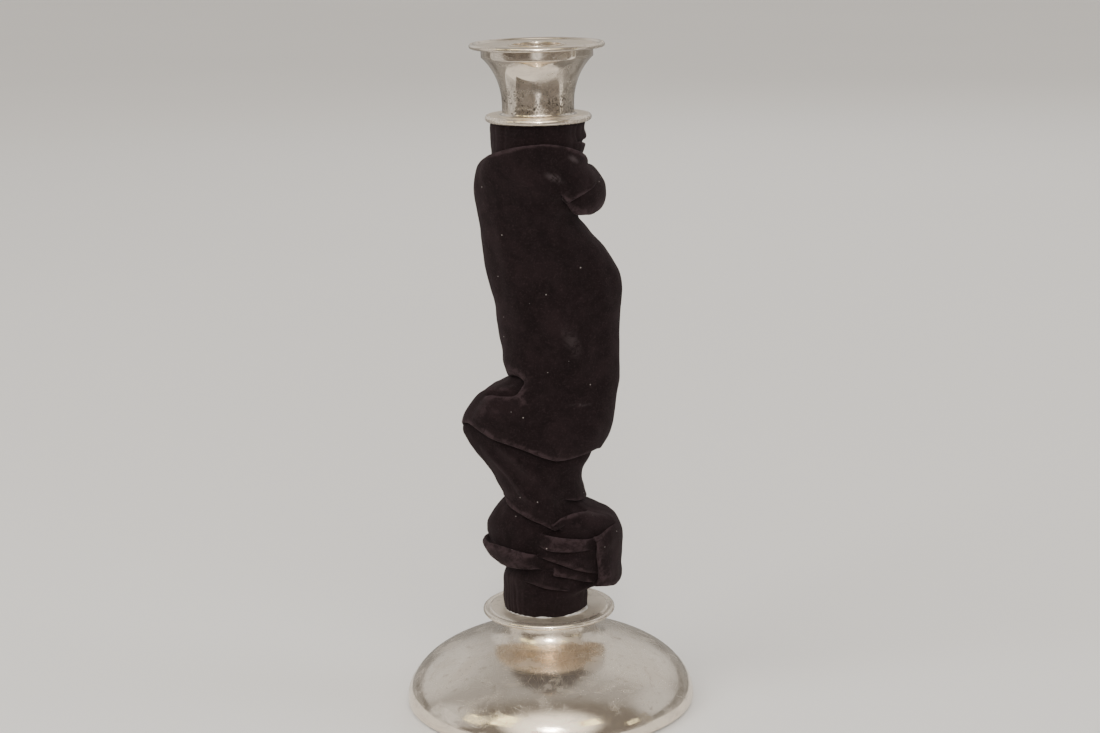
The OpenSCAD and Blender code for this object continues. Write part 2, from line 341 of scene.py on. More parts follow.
def dome_line(inset):
    """The base's wall from the top of its neck to its turned-in foot, drawn in by inset."""
    a = BASE_R - DOME_AXIS_R
    widest = EDGE_Z + BEND
    join = math.acos((JOIN_R - DOME_AXIS_R) / a)
    fall = math.atan(DOME_H * math.cos(join) / (a * math.sin(join)))
    cove = (JOIN_R - NECK_R) / (1 - math.sin(fall))
    cove_z = widest + DOME_H * math.sin(join) + cove * math.cos(fall)
    neck_top = (NECK_R - inset, NECK_TOP - (SHEET if inset else 0))
    return (
        line(neck_top, (NECK_R - inset, cove_z), 3)[:-1]
        + arc(NECK_R + cove, cove_z, cove + inset, 180, 270 - math.degrees(fall))
        + arc(DOME_AXIS_R, widest, a - inset, math.degrees(join) - 1, 0, 1.2, DOME_H - inset)
        + arc(BASE_R - BEND, widest, BEND - inset, -10, -90, 8, BEND)
    )


def cup_line(inset):
    """The cup's wall from its floor to the top of its lip, drawn in by inset. Outside it starts with a
    fillet of solder."""
    top = math.degrees(math.asin((LIP_TOP - LIP_H - FLARE_Z) / FLARE_H))
    foot = (THROAT_R - inset, CUP_FLOOR + (SHEET if inset else SOLDER))
    solder = [] if inset else arc(THROAT_R + SOLDER, CUP_FLOOR + SOLDER, SOLDER, 268, 188, 16)
    flare = arc(THROAT_R + FLARE_A, FLARE_Z, FLARE_A + inset, 180, 182 - top, 1.2, FLARE_H + inset * 0.6)
    lip = line((LIP_R - inset, LIP_TOP - LIP_H + 0.6), (LIP_R - inset, LIP_TOP - 0.15), 3)
    return solder + line(foot, (foot[0], FLARE_Z), 3)[:-1] + flare + lip


def disc_line(r, low, high, groove):
    """A flat disc with a half-round edge and the tie rod's hole, and the points of the groove inside
    its edge, each (distance in from the edge, depth)."""
    half = (high - low) / 2
    rim = r - half
    return (
        line((ROD_HOLE, low), (rim, low), 8)
        + arc(rim, low + half, half, -84, 84, 8)
        + [(rim, high)]
        + [(rim - inward, high - depth) for inward, depth in groove]
        + line((rim - 2.4, high), (ROD_HOLE, high), 8)
    )


def cup_pits(m):
    """Pitting gathers low on the cup, and thins out upwards."""
    low = m.ramp(m.along("Z"), (CUP_FLOOR + 4) * MM, (CUP_FLOOR + 18) * MM, 1, 0)
    return m.math("MULTIPLY", low, m.ramp(m.noise(120, 3, 0.6), 0.38, 0.56))


def dull_above_foot(m):
    """The base is rubbed dull everywhere but round its foot."""
    return m.ramp(m.along("Z"), 14 * MM, 27 * MM, 0, 0.10)


def dull_top(m):
    """The flat tops of the discs are rubbed dull, and their edges have stayed bright."""
    return m.ramp(m.facing_up(), 0, 1, 0, 0.27)


# Single places on the silver, each (place, size, turn) in millimetres and degrees
dome_marks = [
    ((-16, -29, 34), (7, 2, 0.9), (0, 8, 0)),
    ((-3, -45, 27), (9, 2, 0.7), (0, 4, 0)),
]
dome_smudges = [
    ((-33, -33, 30), (22, 16, 3), (0, -28, 0)),
    ((-40, -26, 24), (20, 16, 2.4), (0, -34, 0)),
    ((22, -34, 29), (16, 14, 3), (0, -18, 20)),
    ((38, -22, 30), (20, 16, 3.4), (0, 30, 0)),
    ((48, -24, 20), (12, 18, 6), (0, 40, 0)),
]
cup_smudges = [
    ((6, -18, CUP_FLOOR + 17), (11, 9, 7), (0, 20, 0)),
    ((13, -16, CUP_FLOOR + 21), (9, 9, 4), (0, -10, 0)),
]
silver_dome = silver(
    "worn_silver_dome", 0.3, polish=0.09, haze=0.16, tarnish=0.60, film=0.24, lines=0.04,
    dull=dull_above_foot, smudges=dome_smudges, marks=dome_marks,
)
silver_disc = silver(
    "worn_silver_disc", 1.7, polish=0.15, haze=0.16, tarnish=0.70, film=0.40, dull=dull_top,
)
silver_cup = silver(
    "bright_silver_cup", 3.1, polish=0.06, haze=0.20, tarnish=0.35, film=0.10,
    pits=cup_pits, smudges=cup_smudges,
)
silver_pan = silver(
    "worn_silver_pan", 4.9, polish=0.13, haze=0.20, tarnish=0.80, film=0.22, lines=0.03,
    dull=dull_top,
)


def silver_piece(node, body, material, outline, wobble, seed):
    """A turned silver piece that stands for a CAD node. Its real corners stay sharp."""
    piece = turned(node + "_silver", outline, wobble, seed)
    piece.data.set_sharp_from_angle(angle=math.radians(50))
    dress(piece, body, material, node)


hub = [(ROD_HOLE, NECK_TOP - SHEET), (ROD_HOLE, NECK_TOP)]
base_outline = (hub + dome_line(0) + dome_line(SHEET)[::-1])[::-1]
silver_piece("base_shell", "stand", silver_dome, base_outline, 0.09, 2.0)

groove = [(0.5, 0), (1.1, GROOVE_DEPTH), (1.6, GROOVE_DEPTH), (2.1, GROOVE_DEPTH * 0.3)]
collar_outline = disc_line(COLLAR_R, COLLAR_TOP - COLLAR_T, COLLAR_TOP, groove)
silver_piece("lower_collar", "stand", silver_disc, collar_outline, 0.04, COLLAR_R)

ring_outline = disc_line(RING_R, RING_BOTTOM, RING_TOP, [])
silver_piece("upper_ring", "stand", silver_disc, ring_outline, 0.04, RING_R)

cup_outline = (
    [(ROD_HOLE, CUP_FLOOR)]
    + cup_line(0)
    + cup_line(SHEET)[::-1]
    + [(ROD_HOLE, CUP_FLOOR + SHEET)]
)
silver_piece("candle_cup", "stand", silver_cup, cup_outline, 0.03, 6.0)

skirt = LIP_R - SHEET - SKIRT_GAP
socket_r = SOCKET_BORE + SOCKET_WALL
pan_rim = PAN_R - PAN_EDGE
pan_outline = (
    line((socket_r, LIP_TOP), (skirt - SHEET, LIP_TOP), 4)
    + [(skirt - SHEET, LIP_TOP - SKIRT_H), (skirt, LIP_TOP - SKIRT_H), (skirt, LIP_TOP)]
    + line((skirt + 0.5, LIP_TOP), (pan_rim, LIP_TOP), 3)
    + arc(pan_rim, LIP_TOP + PAN_EDGE, PAN_EDGE, -80, 160, 8)
    + [(pan_rim - 1.35, LIP_TOP + PAN_T + 0.08), (pan_rim - 1.8, LIP_TOP + PAN_T)]
    + line((pan_rim - 2.6, LIP_TOP + PAN_T), (socket_r, LIP_TOP + PAN_T), 10)
)
silver_piece("drip_pan", "nozzle", silver_pan, pan_outline, 0.05, 8.0)

flange_low = LIP_TOP + PAN_T
floor_top = SOCKET_BOTTOM + SOCKET_FLOOR
bend = SOCKET_ROUND
socket_outline = (
    [(AXIS_GAP, SOCKET_BOTTOM)]
    + line((2, SOCKET_BOTTOM), (socket_r - bend, SOCKET_BOTTOM), 3)
    + arc(socket_r - bend, SOCKET_BOTTOM + bend, bend, -80, 0, 16)
    + line((socket_r, SOCKET_BOTTOM + 2 * bend), (socket_r, flange_low), 4)
    + [(FLANGE_R - 0.15, flange_low)]
    + arc(FLANGE_R - FLANGE_ROUND, SOCKET_TOP - FLANGE_ROUND, FLANGE_ROUND, -80, 90, 17)
    + arc(SOCKET_BORE + MOUTH_ROUND, SOCKET_TOP - MOUTH_ROUND, MOUTH_ROUND, 90, 180, 18)
    + line((SOCKET_BORE, SOCKET_TOP - 2), (SOCKET_BORE, floor_top + bend), 6)
    + arc(SOCKET_BORE - bend, floor_top + bend, bend, 0, -90, 16)
    + line((8, floor_top), (AXIS_GAP, floor_top), 3)
)
silver_piece("candle_socket", "nozzle", silver_pan, socket_outline, 0.03, 9.0)

# -------- velvet sleeve

SLEEVE_LOW = COLLAR_TOP + 0.05
SLEEVE_HIGH = RING_BOTTOM - 0.05
TUBE_R = 22.4  # radius of the velvet tube before it was gathered
CLOTH_T = 0.8

# How far the sleeve reaches at a height: (height, to -X, to +X, to -Y, to +Y)
REACH = [
    (43.6, 20.4, 18, 19.2, 19.2), (46.3, 20.6, 17.8, 19.2, 19.2), (49, 20.9, 18, 19.3, 19.3),
    (53, 21, 18.4, 19.6, 19.4), (56.2, 21, 19.2, 19.8, 19.3), (57.8, 21.1, 33.6, 19.9, 19.1),
    (61.4, 21.4, 33.8, 20.2, 18.6), (65, 21.4, 34.2, 21, 18), (68, 19.4, 34.6, 21.4, 17.8),
    (71, 19.8, 34.8, 21.6, 17.6), (74.5, 24.2, 34.8, 21.8, 17.4), (77.5, 26.8, 35, 21.8, 17.2),
    (82, 28.8, 34.8, 21.5, 17), (87, 28.2, 33.2, 20.6, 17.2), (91, 26.2, 31.4, 20, 17.4),
    (93.2, 25.4, 28.8, 19.4, 18), (95.4, 24.2, 22.2, 19, 18.6), (98, 22, 17, 18.6, 19.2),
    (101, 17.8, 16.2, 18.4, 19.6), (106, 20.4, 15.8, 18.4, 20.6), (110, 23, 17.4, 18.6, 21.2),
    (113.5, 25.8, 18.6, 18.8, 21.8), (115.6, 27.6, 21.2, 19.2, 22), (118, 29.4, 22.4, 19.6, 22),
    (121, 31.8, 23, 20.2, 21.6), (126, 35.2, 26.2, 21, 20.5), (131, 37.8, 28.4, 20.8, 19.2),
    (135, 37.2, 30, 20.4, 18.4), (139, 35.4, 31.2, 19.8, 17.8), (144, 31.8, 32.4, 19, 17.6),
    (149.5, 27, 33.8, 18.2, 17.2), (153, 25, 34.4, 17.6, 17.4), (155.6, 14.8, 34.4, 17.2, 18),
    (163, 17.6, 34.4, 16.8, 18.8), (176, 20, 35, 16.6, 19), (188, 21, 35.8, 16.6, 18.4),
    (195, 23, 36.2, 16.6, 18), (203, 24.8, 34.8, 17, 17.6), (214, 26.4, 28.6, 18, 18.6),
    (220, 26.9, 22.8, 18.7, 19.6), (226, 27.2, 19.4, 19.4, 20.6), (229.6, 27.6, 17.8, 19.8, 21),
    (231.2, 27.8, 22, 20.2, 21.2), (233.4, 28, 24.8, 20.8, 21), (237, 28.4, 26.2, 21, 20.6),
    (243, 28.2, 25.4, 21.8, 19.8), (248, 27.6, 23.4, 22.2, 19.6), (252, 26.2, 19.8, 22, 19.8),
    (256, 23.2, 21, 21.4, 20.4), (260, 23.4, 21.8, 21.4, 21.4), (264, 23, 23.4, 20.8, 21.4),
    (268, 22, 20.6, 20.4, 20.8), (271.6, 21.2, 21, 20.4, 20.4),
]

# Where the velvet folds over itself. Each fold is (overlap, radius of its turns, half-width, fade,
# points), and each point (angle, height, strength), all in degrees and millimetres: 0 is +X, 180 -X
# and 270 the front. The points follow the edge that shows. A positive overlap hangs the cloth on the
# left of the line's direction over the cloth on its right, and a negative one the other way.
FOLDS = [
    # hem of the upper panel, all round
    (4, 1.2, 6, 9, [
        (182, 133, 0), (190, 134.6, 0.5), (202, 135.8, 0.9), (214, 134.6, 1), (230, 131, 1),
        (245, 128.2, 1), (256, 125.8, 1), (268, 122.8, 1), (280, 121.2, 1), (295, 121.4, 1),
        (312, 122.6, 1), (328, 124, 0.9), (345, 123, 0.7), (362, 122, 0.6), (385, 121, 0.7),
        (410, 123, 0.9), (435, 127, 0.9), (470, 131, 0.7), (505, 132, 0.4), (530, 132, 0),
    ]),
    # tuck above the left lobe, which curls back round the lobe's hollow
    (2.4, 1, 4, 5, [
        (128, 161, 0), (150, 158, 0.6), (175, 156.4, 0.6), (198, 156.6, 0.7), (216, 158.2, 0.9),
        (230, 158, 1), (239, 155.6, 1), (243.5, 152.6, 0.8), (240, 150.6, 0.6), (230, 150, 0.6),
        (216, 149.6, 0.5), (205, 148, 0),
    ]),
    # waist hanging over the lower bulge
    (3.2, 1.1, 4.5, 6, [
        (118, 104, 0), (150, 101.5, 0.6), (178, 100, 0.6), (198, 100, 0.9), (219, 97.8, 1), (239, 95.4, 1),
        (252, 93, 1), (263, 91, 0.9), (272, 89.4, 0.6), (282, 87.6, 0),
    ]),
    # top edge of the flap, standing in front of the waist
    (-2, 1, 3.6, 6, [
        (268, 90, 0), (280, 93.2, 0.7), (294, 94.8, 0.9), (308, 95.2, 0.6), (322, 95.6, 0.3), (334, 96, 0),
    ]),
    # waist tucked down over the back of the flap
    (1.8, 1, 3.4, 5, [
        (300, 101.4, 0), (315, 100, 0.7), (332, 98.8, 1), (350, 98.2, 1), (368, 98.6, 0.8), (392, 100, 0.5),
        (420, 103, 0),
    ]),
    # shoulder of the upper panel standing over the neck
    (-1.6, 1.2, 5, 9, [
        (160, 250, 0), (182, 252.6, 0.7), (198, 257, 1), (220, 259.8, 1), (248, 262.6, 0.9),
        (277, 263.6, 0.6), (302, 262, 0.7), (326, 259, 1), (345, 255, 1), (362, 251.4, 0.9),
        (385, 249, 0.7), (420, 250, 0),
    ]),
    # second fold peeping out beside the neck
    (-0.5, 0.6, 2.2, 3, [
        (316, 264, 0), (334, 262.8, 0.8), (352, 261.2, 1), (375, 260.2, 0.8), (398, 260, 0),
    ]),
    # right lobe hooked over the diagonal edge
    (3, 1.2, 4.5, 6, [
        (289, 242, 0), (295, 237.6, 0.7), (302, 233.6, 1), (312, 231.8, 1), (328, 231.8, 1),
        (345, 232.2, 1), (362, 233, 1), (385, 234, 0.9), (415, 237, 0.5), (445, 240, 0),
    ]),
    # dart inside the right lobe
    (1.4, 0.9, 3, 3, [
        (295, 236.6, 0), (303, 238.8, 1), (314, 240.8, 0.8), (328, 243, 0.4), (340, 245, 0),
    ]),
    # layers across the lower bulge, from the left notch down to the flap's corner
    (-1.8, 1, 2.9, 5, [
        (160, 80, 0), (184, 80.6, 0.8), (206, 81.2, 1), (228, 80.8, 1), (243, 79.6, 1), (254, 78.2, 0.6),
        (262, 77.2, 0),
    ]),
    (2.2, 1, 2.9, 4, [
        (150, 66.5, 0), (178, 67.4, 0.8), (198, 69.6, 1), (215, 71.2, 1), (232, 71.6, 1), (246, 70.8, 0.9),
        (257, 69.8, 0.5), (266, 69, 0),
    ]),
    (-0.8, 0.9, 2.6, 4, [
        (260, 87.4, 0), (275, 85.8, 0.8), (290, 84.4, 1), (304, 83.4, 1), (314, 84.8, 0.8),
        (326, 86.8, 0.6), (342, 87.4, 0),
    ]),
    (1.2, 0.8, 2.4, 3, [
        (261, 81.4, 0), (270, 79.4, 0.9), (282, 78.6, 1), (294, 78.2, 0.7), (303, 78, 0),
    ]),
    (2, 1, 2.8, 4, [
        (257, 76.6, 0), (268, 74.4, 0.8), (280, 71.8, 1), (293, 68.8, 1), (304, 66.4, 0.5), (311, 65, 0),
    ]),
    (0.9, 0.7, 2, 2, [(274, 71.5, 0), (275.5, 68, 1), (276, 65, 0)]),
    # corner edge of the flap, and the flap's flat bottom
    (0.8, 0.9, 2.6, 4, [
        (308, 85, 0), (306.5, 80, 0.9), (307, 74, 1), (308, 67, 1), (308.5, 62, 0.4), (309, 60, 0),
    ]),
    (2.4, 1, 3, 4, [
        (265, 69.4, 0), (277, 66.8, 0.7), (288, 64.2, 1), (298, 62, 1), (313, 60, 1), (328, 58.8, 0.7),
        (345, 57.8, 0.4), (360, 57.6, 0.4), (385, 57.8, 0.6), (415, 59, 0.5), (450, 61, 0),
    ]),
    (1.2, 0.8, 2.4, 3, [
        (238, 63.8, 0), (252, 62.4, 0.8), (266, 60.6, 1), (279, 59.2, 0.8), (289, 58, 0),
    ]),
    # folds on the back
    (2.4, 1.1, 5, 8, [
        (20, 214, 0), (45, 208, 0.8), (75, 200, 1), (105, 196, 1), (135, 199, 0.8), (160, 206, 0),
    ]),
    (-2.2, 1.1, 4.6, 8, [(50, 172, 0), (75, 166, 0.9), (100, 161, 1), (120, 160, 0.6), (135, 160, 0)]),
    (2.2, 1, 4, 7, [(40, 90, 0), (65, 86, 0.9), (100, 80, 1), (135, 78, 0.9), (160, 76, 0)]),
    (2.2, 1, 3.6, 6, [(70, 66, 0), (90, 66, 0.9), (115, 67, 1), (140, 66, 0.7), (152, 65.5, 0)]),
    (2, 1.1, 4, 7, [(60, 238, 0), (85, 243, 0.9), (115, 241, 1), (145, 236, 0)]),
]

# Soft ridges in the velvet: (height, width, points), the points as for a fold
RIDGES = [
    (1.3, 2.2, [
        (226, 129, 0), (240, 122.5, 0.7), (254, 114.8, 1), (268, 107.4, 1), (281, 100.8, 0.7), (291, 96, 0),
    ]),
    (1.2, 2, [(210, 126, 0), (222, 118, 0.8), (236, 108.5, 1), (252, 101, 0.9), (266, 96, 0)]),
    (0.9, 1.8, [(262, 121, 0), (276, 114, 0.8), (292, 107, 0.8), (308, 103, 0)]),
    (0.9, 2.4, [(206, 146, 0), (216, 143, 1), (232, 142.5, 0.8), (248, 144, 0)]),
    (0.8, 1.6, [(250, 153, 0), (251, 147, 1), (248, 141, 0)]),
    (0.9, 2.6, [(222, 93, 0), (240, 89, 0.8), (258, 86, 0.6), (270, 84, 0)]),
    (1.2, 2.6, [(308, 85, 0), (318, 88, 1), (330, 90, 0.8), (345, 91, 0)]),
    (1, 3, [(246, 252, 0), (262, 246, 1), (282, 242, 0.7), (296, 240, 0)]),
    (0.8, 3.6, [(222, 236, 0), (230, 220, 1), (238, 200, 0.8), (240, 180, 0)]),
    (0.7, 3.2, [(285, 200, 0), (292, 184, 1), (296, 168, 0.8), (292, 152, 0)]),
    (0.8, 3.4, [(316, 216, 0), (322, 196, 1), (326, 176, 0.6), (324, 160, 0)]),
]

# Small pleats where the cloth is gathered tight at its ends: (angle, depth, width, reach)
FOOT_PLEATS = [
    (184, 0.5, 1.5, 16), (193, 0.7, 1.3, 20), (202, 0.6, 1.4, 15), (210, 0.9, 1.4, 22), (217, 0.8, 1.3, 19),
    (225, 0.9, 1.5, 21), (233, 0.7, 1.3, 16), (241, 0.4, 1.4, 12), (262, 0.25, 1.6, 8), (335, 0.25, 1.8, 9),
    (12, 0.6, 1.6, 12), (34, 0.7, 1.7, 15), (52, 0.9, 1.5, 18), (69, 0.7, 1.6, 14), (88, 0.9, 1.6, 17),
    (104, 0.7, 1.4, 14), (121, 0.9, 1.7, 18), (139, 0.7, 1.5, 15), (158, 0.8, 1.6, 17), (171, 0.5, 1.4, 13),
]
NECK_PLEATS = [
    (188, 0.5, 1.6, 12), (205, 0.5, 1.5, 14), (224, 0.8, 1.7, 13), (238, 0.35, 1.8, 9), (262, 0.25, 2.4, 8),
    (291, 0.3, 2.2, 9), (318, 0.45, 1.6, 11), (328, 0.7, 1.5, 13), (343, 0.4, 1.5, 10),
    (8, 0.5, 1.7, 11), (31, 0.8, 1.6, 13), (55, 0.7, 1.8, 12), (78, 0.9, 1.6, 14), (101, 0.7, 1.7, 12),
    (124, 0.9, 1.6, 14), (147, 0.7, 1.7, 12), (168, 0.6, 1.5, 11),
]

SLEEVE_COLS = 252
SLEEVE_BANDS = [(142, 330), (222, 120), (SLEEVE_HIGH, 160)]  # rows of cloth up to each height
HELD = 5  # how far from its held ends the sleeve is free to fold
WAVES = ((13, 13, 19), 0.8)  # size and rise of the cloth's soft waves, and of its small ones
RIPPLES = ((4.5, 4.5, 7), 0.3)


def smoothed(values, reach):
    """A table with a Gaussian blur down its columns, reach rows wide."""
    span = np.arange(-3 * reach, 3 * reach + 1)
    weight = np.exp(-0.5 * (span / reach) ** 2)
    weight /= weight.sum()
    padded = np.pad(values, ((3 * reach, 3 * reach), (0, 0)), "edge")
    return sum(w * padded[i : i + len(values)] for i, w in enumerate(weight))


def reach_tables():
    """The four reaches at every half millimetre, rounded off between the rows of REACH."""
    rows = np.array(REACH)
    heights = np.arange(SLEEVE_LOW - 12, SLEEVE_HIGH + 12, 0.5)
    sides = np.stack([np.interp(heights, rows[:, 0], rows[:, i]) for i in range(1, 5)], axis=1)
    return heights, smoothed(sides, 2)


def sleeve_surface(angle, height, heights, sides):
    """Points of the plain, unfolded sleeve at angles in degrees and heights in millimetres."""
    left, right, front, back = (np.interp(height, heights, sides[:, i]) for i in range(4))
    a = np.radians(angle)
    c, s = np.cos(a), np.sin(a)
    x = np.where(c > 0, right, left) * c
    y = np.where(s > 0, back, front) * np.sign(s) * np.abs(s) ** 0.9
    return np.stack([x, y, height], axis=-1)


def fold_line(points):
    """A smooth line through a fold's points: positions [along, (round, up)] and strengths."""
    p = np.array(points, float)
    p[:, 0] *= math.pi / 180 * TUBE_R
    t = np.linspace(0, len(p) - 1, 12 * (len(p) - 1) + 1)
    i = np.clip(t.astype(int), 0, len(p) - 2)
    f = (t - i)[:, None]
    a, b, c, d = p[np.maximum(i - 1, 0)], p[i], p[i + 1], p[np.minimum(i + 2, len(p) - 1)]
    s = 0.5 * (2 * b + (c - a) * f + (2 * a - 5 * b + 4 * c - d) * f**2 + (3 * b - a - 3 * c + d) * f**3)
    return s[:, :2], np.clip(s[:, 2], 0, 1)


def fold_profile(share, overlap, radius, half):
    """How a fold runs in cross-section, from share -1 below it to 1 above it: flat under the overlap,
    round a turn, back through the middle, round a second turn and flat over the top. Gives the place
    across the fold and the rise above its middle layer."""
    arc_length = math.pi * radius
    turn_1 = half + overlap / 2
    turn_2 = turn_1 + arc_length + overlap
    run = (share + 1) / 2 * (turn_2 + arc_length + turn_1)
    bend_1 = np.clip((run - turn_1) / np.maximum(radius, 1e-6), 0, math.pi)
    bend_2 = np.clip((run - turn_2) / np.maximum(radius, 1e-6), 0, math.pi)
    middle = np.clip(run - turn_1 - arc_length, 0, overlap)
    top = np.maximum(run - turn_2 - arc_length, 0)
    place = np.minimum(run, turn_1) - half + radius * np.sin(bend_1)
    place += top - middle - radius * np.sin(bend_2)
    return place, -radius * (np.cos(bend_1) + np.cos(bend_2))


def along_line(where, points, far):
    """Goes round the sleeve for the places within reach of a line drawn on it. Gives which places
    they are, how far left of the line each lies, the unit vector to the left, and the strength."""
    line_at, strength = fold_line(points)
    turn = 2 * math.pi * TUBE_R
    for wrap in (-turn, 0, turn):
        a = line_at + [wrap, 0]
        near = np.all((where > a.min(0) - far) & (where < a.max(0) + far), axis=1)
        if not near.any():
            continue
        p = where[near]
        start, step = a[:-1], np.diff(a, axis=0)
        length2 = (step**2).sum(1) + 1e-9
        t = np.clip(((p[:, None] - start) * step).sum(2) / length2, 0, 1)
        gap = p[:, None] - (start + t[..., None] * step)
        k = (gap**2).sum(2).argmin(1)
        rows = np.arange(len(p))
        along = step[k] / np.sqrt(length2[k])[:, None]
        left = np.stack([-along[:, 1], along[:, 0]], axis=1)
        offset = gap[rows, k]
        distance = np.sqrt((offset**2).sum(1))
        beyond = np.abs((offset * along).sum(1)) / (distance + 1e-6)
        power = (strength[k] + (strength[k + 1] - strength[k]) * t[rows, k]) * np.clip(1.2 - beyond, 0, 1)
        yield near, np.sign((offset * left).sum(1)) * distance, left, power


def fold_shift(where, fold):
    """What one fold does at each place on the cloth: its slide (round, up) and its rise."""
    overlap, radius, half, fade, points = fold
    over, hang = abs(overlap), math.copysign(1, overlap)
    slide = np.zeros_like(where)
    rise = np.zeros(len(where))
    for near, offset, left, power in along_line(where, points, 2 * half + 2.5 * fade):
        q = (offset * hang - power * (over / 2 + radius)) / half
        place, lift = fold_profile(np.clip(q, -1, 1), over * power, radius * power, half)
        fading = np.exp(-((np.maximum(np.abs(q) - 1, 0) * half / fade) ** 2))
        across = np.where(np.abs(q) < 1, place - q * half, 0) * hang
        slide[near] += left * across[:, None]
        rise[near] += lift * fading
    return slide, rise


def ridge_rise(where, ridge):
    """The rise of one soft ridge at each place on the cloth."""
    height, width, points = ridge
    rise = np.zeros(len(where))
    for near, offset, _, power in along_line(where, points, 3 * width):
        rise[near] += height * power * np.exp(-((offset / width) ** 2))
    return rise


def pleat_depth(where, pleats, up):
    """How deep the pleats lie at each place, where up is the distance from the gathered end."""
    turn = 2 * math.pi * TUBE_R
    depth = np.zeros(len(where))
    for angle, deep, width, reach in pleats:
        sway = 0.05 * math.sin(angle)
        across = where[:, 0] - math.radians(angle) * TUBE_R - sway * up
        across = (across + turn / 2) % turn - turn / 2
        depth += deep * np.exp(-np.abs(across) / (width * 0.5)) * np.exp(-((up / reach) ** 2))
    return depth


def relaxed(grid, times):
    """The cloth after its sharp corners are let out: each place moves half-way to its neighbours."""
    for _ in range(times):
        sides = np.roll(grid, 1, axis=1) + np.roll(grid, -1, axis=1)
        ends = sides[1:-1] + grid[2:] + grid[:-2]
        grid[1:-1] = grid[1:-1] * 0.5 + ends * 0.125
    return grid


def noise_over(points, size, shift=0):
    """Noise at each point, its bumps as long as size says in X, Y and Z."""
    scaled = points / np.array(size) + [0, 0, shift]
    return np.array([noise.noise(Vector(p)) for p in scaled])


def build_sleeve():
    """The cloth's points [row, column, xyz] in metres: the plain sleeve, folded, waved and pleated."""
    heights, sides = reach_tables()
    angle = np.linspace(0, 360, SLEEVE_COLS, endpoint=False)
    stops = [SLEEVE_LOW] + [top for top, _ in SLEEVE_BANDS]
    bands = [np.linspace(a, b, n, endpoint=False) for a, (b, n) in zip(stops, SLEEVE_BANDS)]
    height = np.concatenate(bands + [[SLEEVE_HIGH]])
    grid_h, grid_a = np.meshgrid(height, angle, indexing="ij")
    where = np.stack([np.radians(grid_a).ravel() * TUBE_R, grid_h.ravel()], axis=1)
    above_low, below_high = where[:, 1] - SLEEVE_LOW, SLEEVE_HIGH - where[:, 1]
    ends = np.clip(np.minimum(above_low, below_high) / HELD, 0, 1)
    slide = np.zeros_like(where)
    rise = np.zeros(len(where))
    for fold in FOLDS:
        one_slide, one_rise = fold_shift(where, fold)
        slide += one_slide
        rise += one_rise
    for ridge in RIDGES:
        rise += ridge_rise(where, ridge)
    moved = where + slide * ends[:, None]
    moved[:, 1] = np.clip(moved[:, 1], SLEEVE_LOW, SLEEVE_HIGH)
    moved_angle = np.degrees(moved[:, 0] / TUBE_R)
    points = sleeve_surface(moved_angle, moved[:, 1], heights, sides)
    step = 0.6  # degrees round and millimetres up
    round_by = sleeve_surface(moved_angle + step, moved[:, 1], heights, sides)
    up_by = sleeve_surface(moved_angle, moved[:, 1] + step, heights, sides)
    normal = np.cross(round_by - points, up_by - points)
    normal /= np.linalg.norm(normal, axis=1)[:, None]
    waves = WAVES[1] * noise_over(points, WAVES[0])
    ripples = RIPPLES[1] * noise_over(points, RIPPLES[0], 40)
    rise = ends * (rise + waves + ripples)
    rise -= pleat_depth(where, FOOT_PLEATS, above_low) + pleat_depth(where, NECK_PLEATS, below_high)
    points = points + normal * rise[:, None]
    return relaxed(points.reshape(len(height), SLEEVE_COLS, 3), 3) * MM


def crests(grid):
    """How sharply the cloth turns outward at each place. The crests are painted lighter there, partly for
    pile wear and partly as painted sheen along the fold edges.
    """
    along = np.roll(grid, -1, axis=1) - np.roll(grid, 1, axis=1)
    up = np.gradient(grid, axis=0)
    normal = np.cross(along, up)
    normal /= np.linalg.norm(normal, axis=2)[..., None] + 1e-12
    around = (np.roll(grid, 3, axis=1) + np.roll(grid, -3, axis=1)) / 2
    above = np.concatenate([grid[3:], np.repeat(grid[-1:], 3, axis=0)])
    below = np.concatenate([np.repeat(grid[:1], 3, axis=0), grid[:-3]])
    sink = ((grid - around) + (grid - (above + below) / 2)) / MM
    return np.clip((sink * normal).sum(axis=2), 0, 1)


cloth_grid = build_sleeve()
sleeve = grid_mesh("velvet_sleeve_cloth", cloth_grid)
# the crest attribute drives the painted sheen and the pile wear along the fold crests
crest = sleeve.data.attributes.new("crest", "FLOAT", "POINT")
crest.data.foreach_set("value", crests(cloth_grid).ravel())
thick = sleeve.modifiers.new("cloth_thickness", "SOLIDIFY")
thick.thickness = CLOTH_T * MM
thick.offset = -1

# Marks on the velvet, each (place, size, turn) in millimetres and degrees: pile crushed to a streak,
# and lighter patches of painted sheen where the pile lies the other way
CRUSHED = [
    ((15, -18.5, 256.5), (4.6, 5, 2), (0, 38, 0)),
    ((6.4, -21.5, 249), (6.6, 5, 2.4), (0, 24, 0)),
    ((13, -19.2, 174), (6.5, 6, 13), (0, -24, 0)),
    ((15, -15.5, 145.6), (8, 5, 1.3), (0, 2, 0)),
]
NAP_SHEEN = [
    ((4, -17, 183), (8, 9, 16), (0, -20, 0)),
    ((-8, -17, 205), (7, 9, 12), (0, 12, 0)),
    ((-6, -22, 250), (12, 9, 7), (0, 10, 0)),
    ((-20, -14, 144), (13, 9, 6), (0, 12, 0)),
    ((-10, -19, 112), (5, 9, 17), (0, -42, 0)),
    ((24, -15, 90), (9, 12, 6), (0, 20, 0)),
    ((-24, -12, 76), (9, 12, 4), (0, 8, 0)),
]

VELVET_DARK = (0.0024, 0.0012, 0.0014)
# painted sheen: the lighter colour of the patches where the pile lies the other way
VELVET_NAP_SHEEN = (0.0082, 0.0046, 0.0053)
VELVET_MOTTLE = (0.0096, 0.0056, 0.0064)
VELVET_PILE = (0.0205, 0.0124, 0.0142)
# painted sheen and pile wear on the fold crests
VELVET_CREST_WEAR_SHEEN = (0.028, 0.018, 0.0205)
VELVET_CRUSHED = (0.034, 0.027, 0.029)
LINT = (0.22, 0.20, 0.195)


